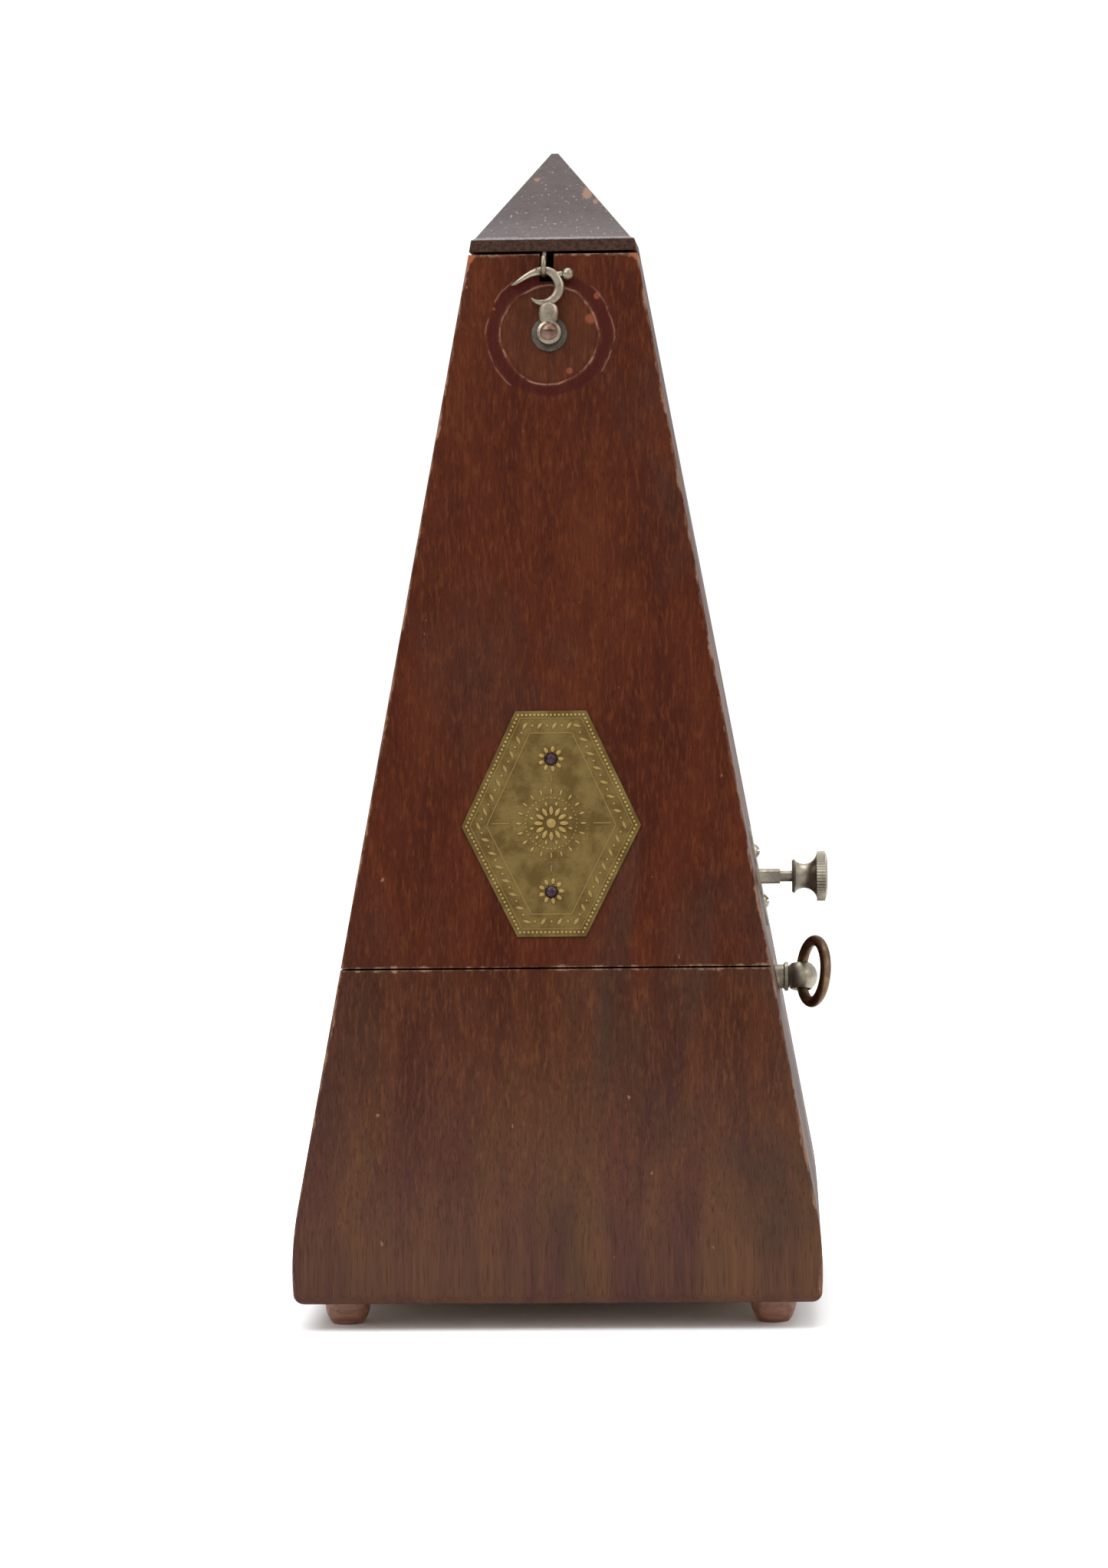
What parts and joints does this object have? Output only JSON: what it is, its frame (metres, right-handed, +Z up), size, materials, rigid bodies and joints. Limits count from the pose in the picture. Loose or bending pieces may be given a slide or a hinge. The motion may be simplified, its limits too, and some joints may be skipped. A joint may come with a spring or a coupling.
{
  "type": "metronome",
  "caption": "Pyramid metronome: a flared wooden case with a hinged lid and lift-off door, a wind-up movement, an inverted pendulum with a sliding weight, and a bell set by a side rod",
  "frame": {"origin": "on the surface the feet stand on, under the middle of the case", "axes": "+X to the right, where the key is; -Y out of the front door; +Z up"},
  "size_m": [0.1048, 0.1022, 0.23],
  "materials": {
    "case_wood": "stained mahogany, worn varnish",
    "lid_wood": "darkened weathered varnish",
    "foot_wood": "red-brown stained",
    "inner_wood": "unfinished",
    "plate_brass": "antique",
    "movement_brass": "aged",
    "nickel": "dull nickel-plated",
    "ring_bronze": "dark bronze",
    "weight_metal": "dull",
    "scale_metal": "cream enamel",
    "steel": "blued, worn"
  },
  "bodies": {
    "case": {"back_panel": "case_wood", "front_lower_panel": "case_wood", "left_side_panel": "case_wood", "right_side_panel": "case_wood", "bottom_board": "inner_wood", "feet": "foot_wood", "foot_screws": "steel", "movement_shelf": "inner_wood", "dial_board": "inner_wood", "scale_plate": "scale_metal", "pendulum_clip": "movement_brass", "frame_plate_left": "movement_brass", "frame_plate_right": "movement_brass", "frame_pillars": "movement_brass", "frame_screws": "steel", "cross_bar": "movement_brass", "verge_bridge": "movement_brass", "bracket_screws": "steel", "mainspring": "steel", "bell": "nickel", "bell_post": "steel", "detent_spring": "steel", "key_bush": "movement_brass", "rod_escutcheon": "nickel", "escutcheon_screws": "nickel", "lid_hinge_lower_leaf": "movement_brass", "lid_hinge_pin": "steel", "lower_leaf_screws": "steel"},
    "door": {"door_panel": "case_wood", "door_rails": "case_wood", "door_pins": "movement_brass", "name_plate": "plate_brass", "name_plate_nails": "steel", "hook_washer": "nickel", "hook_screw": "nickel"},
    "latch": {"latch_hook": "nickel"},
    "lid": {"lid": "lid_wood", "lid_eye": "nickel", "lid_hinge_upper_leaf": "movement_brass", "upper_leaf_screws": "steel"},
    "winding": {"winding_arbor": "steel", "winding_key": "nickel"},
    "ring": {"key_ring": "ring_bronze"},
    "great": {"great_wheel": "movement_brass", "click_spring": "steel"},
    "click": {"click": "steel"},
    "second": {"second_arbor": "steel", "second_wheel": "movement_brass"},
    "escape": {"escape_arbor": "steel", "escape_wheels": "movement_brass", "bell_cams": "movement_brass"},
    "pendulum": {"pendulum_rod": "steel", "verge_arbor": "steel", "pallet_rocker": "steel", "counterweight": "weight_metal"},
    "weight": {"sliding_weight": "movement_brass"},
    "selector": {"selector_rod": "nickel", "selector_knob": "nickel", "hammer_spring": "steel"},
    "hammer": {"bell_hammer": "steel"}
  },
  "joints": [
    {"name": "lid_hinge", "type": "hinge", "parent": "case", "child": "lid", "pos_m": [0, 0.0177, 0.20955], "axis": [-1, 0, 0], "range_deg": [0, 105]},
    {"name": "door_slide", "type": "slide", "parent": "case", "child": "door", "axis": [0, -1, 0], "range_m": [0, 0.08]},
    {"name": "hook_swing", "type": "hinge", "parent": "door", "child": "latch", "pos_m": [-0.0007, -0.01957, 0.193], "axis": [0, 0.9841, -0.1774], "range_deg": [0, 170]},
    {"name": "key_turn", "type": "hinge", "parent": "case", "child": "winding", "pos_m": [0.0478, 0.003, 0.0637], "axis": [1, 0, 0], "continuous": true},
    {"name": "ring_swing", "type": "hinge", "parent": "winding", "child": "ring", "pos_m": [0.0478, 0.003, 0.0637], "axis": [0, -0.2588, -0.9659], "range_deg": [-150, 18]},
    {"name": "great_wheel_turn", "type": "hinge", "parent": "case", "child": "great", "pos_m": [0, 0.003, 0.0637], "axis": [1, 0, 0], "continuous": true},
    {"name": "click_lift", "type": "hinge", "parent": "great", "child": "click", "pos_m": [0, -0.0067, 0.0693], "axis": [1, 0, 0], "range_deg": [0, 12]},
    {"name": "second_turn", "type": "hinge", "parent": "case", "child": "second", "pos_m": [0, -0.0123, 0.0484], "axis": [1, 0, 0], "continuous": true},
    {"name": "escape_turn", "type": "hinge", "parent": "case", "child": "escape", "pos_m": [0, -0.02, 0.0607], "axis": [1, 0, 0], "continuous": true},
    {"name": "pendulum_swing", "type": "hinge", "parent": "case", "child": "pendulum", "pos_m": [0, -0.02981, 0.0752], "axis": [0, 1, 0], "range_deg": [-4.5, 4.5]},
    {"name": "weight_slide", "type": "slide", "parent": "pendulum", "child": "weight", "axis": [0, 0.1774, 0.9841], "range_m": [-0.052, 0.036]},
    {"name": "selector_slide", "type": "slide", "parent": "case", "child": "selector", "axis": [1, 0, 0], "range_m": [-0.0036, 0.0036]},
    {"name": "hammer_lift", "type": "hinge", "parent": "selector", "child": "hammer", "pos_m": [0, 0, 0.08425], "axis": [-1, 0, 0], "range_deg": [0, 9]}
  ],
  "couplings": [
    {"joint": "second_turn", "follows": "great_wheel_turn", "ratio": -5},
    {"joint": "escape_turn", "follows": "great_wheel_turn", "ratio": 24}
  ]
}
